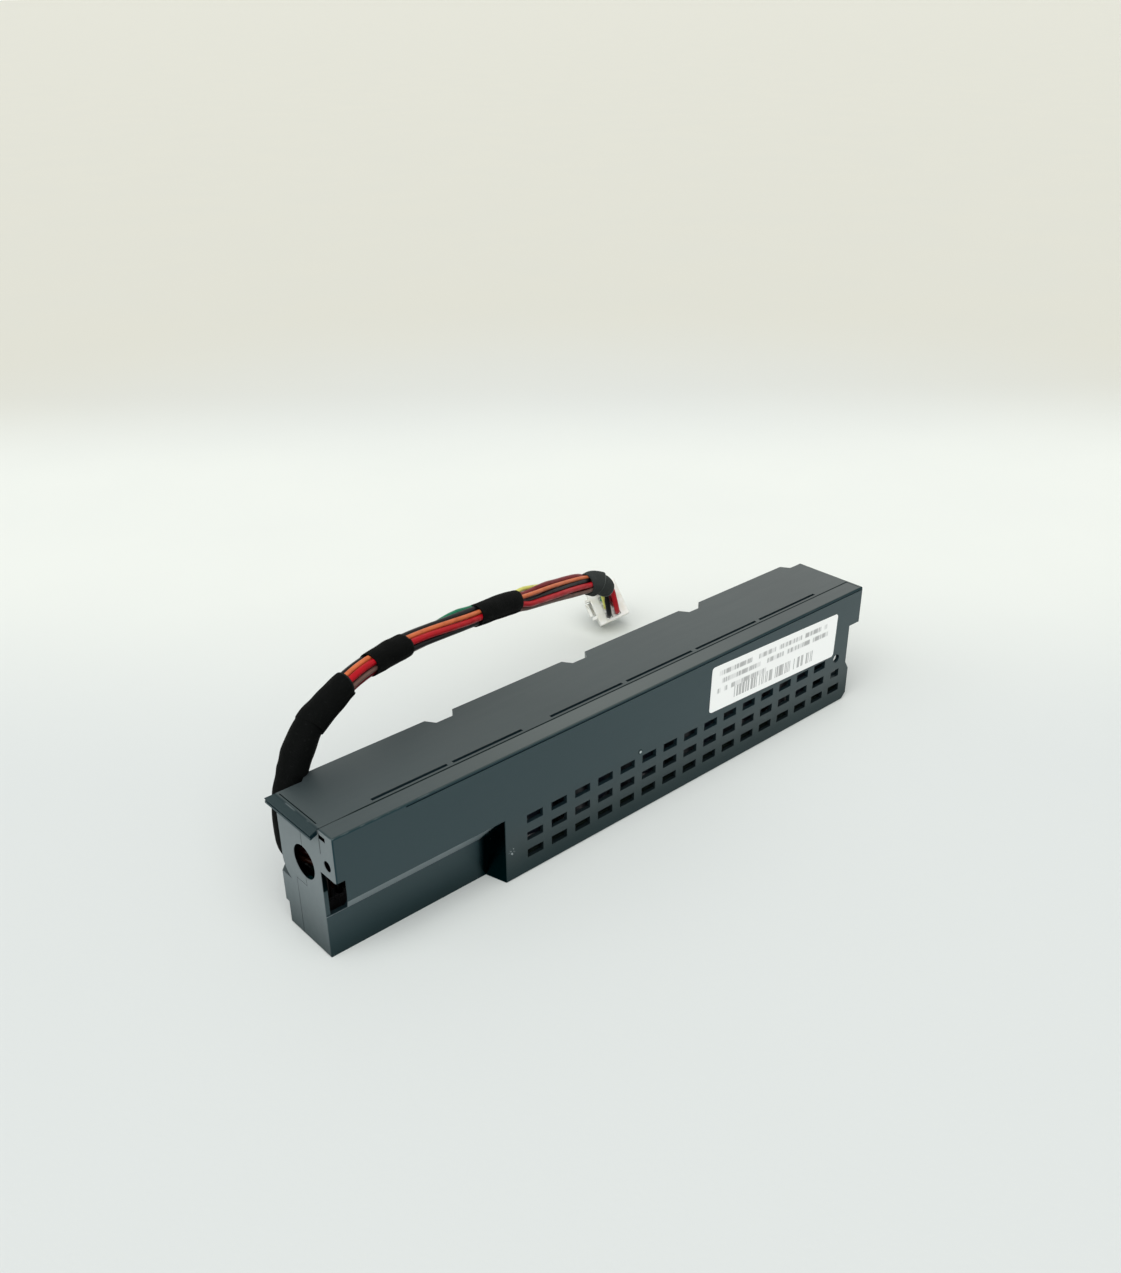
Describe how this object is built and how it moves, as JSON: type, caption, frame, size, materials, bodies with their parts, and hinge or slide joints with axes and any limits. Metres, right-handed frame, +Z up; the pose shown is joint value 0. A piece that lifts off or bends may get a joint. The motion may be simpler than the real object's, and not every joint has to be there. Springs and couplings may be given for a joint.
{
  "type": "backup capacitor module",
  "caption": "Long black vented case of two moulded shells that holds storage cells and a charging board, with a taped wire harness ending in a white plug.",
  "frame": {"origin": "middle of the case's underside, without the harness", "axes": "+X along the case towards the latch pocket, +Y from the vented front to the rear edge, +Z up"},
  "size_m": [0.1932, 0.0968, 0.055],
  "materials": {
    "case_plastic": "satin, fine moulded grain",
    "label_paper": "matte sticker",
    "board_laminate": "solder mask",
    "screw_steel": "zinc plated",
    "foam": "open cell foam",
    "ferrite": "matte",
    "chip_epoxy": "moulded epoxy",
    "header_nylon": "natural nylon",
    "can_aluminium": "drawn can",
    "cell_sleeve": "shrink sleeve",
    "wire_insulation": "smooth insulation",
    "cloth_tape": "woven cloth tape",
    "connector_nylon": "natural nylon",
    "contact_tin": "tin plated"
  },
  "bodies": {
    "root": {"rear_shell": "case_plastic", "front_shell": "case_plastic", "label": "label_paper", "control_board": "board_laminate", "board_screws": "screw_steel", "foam_pad": "foam", "charge_inductor": "ferrite", "power_switches": "chip_epoxy", "controller_chip": "chip_epoxy", "harness_header": "header_nylon", "filter_capacitor_1": "can_aluminium", "filter_capacitor_2": "can_aluminium", "wire_bundle": "wire_insulation", "connector_housing": "connector_nylon", "connector_contacts": "contact_tin", "capacitor_cell_1": "cell_sleeve", "capacitor_cell_2": "cell_sleeve", "capacitor_cell_3": "cell_sleeve", "capacitor_cell_4": "cell_sleeve", "capacitor_cell_5": "cell_sleeve", "capacitor_cell_6": "cell_sleeve", "tape_wrap_1": "cloth_tape", "tape_wrap_2": "cloth_tape", "tape_wrap_3": "cloth_tape", "tape_wrap_4": "cloth_tape", "tape_wrap_5": "cloth_tape"}
  },
  "joints": []
}
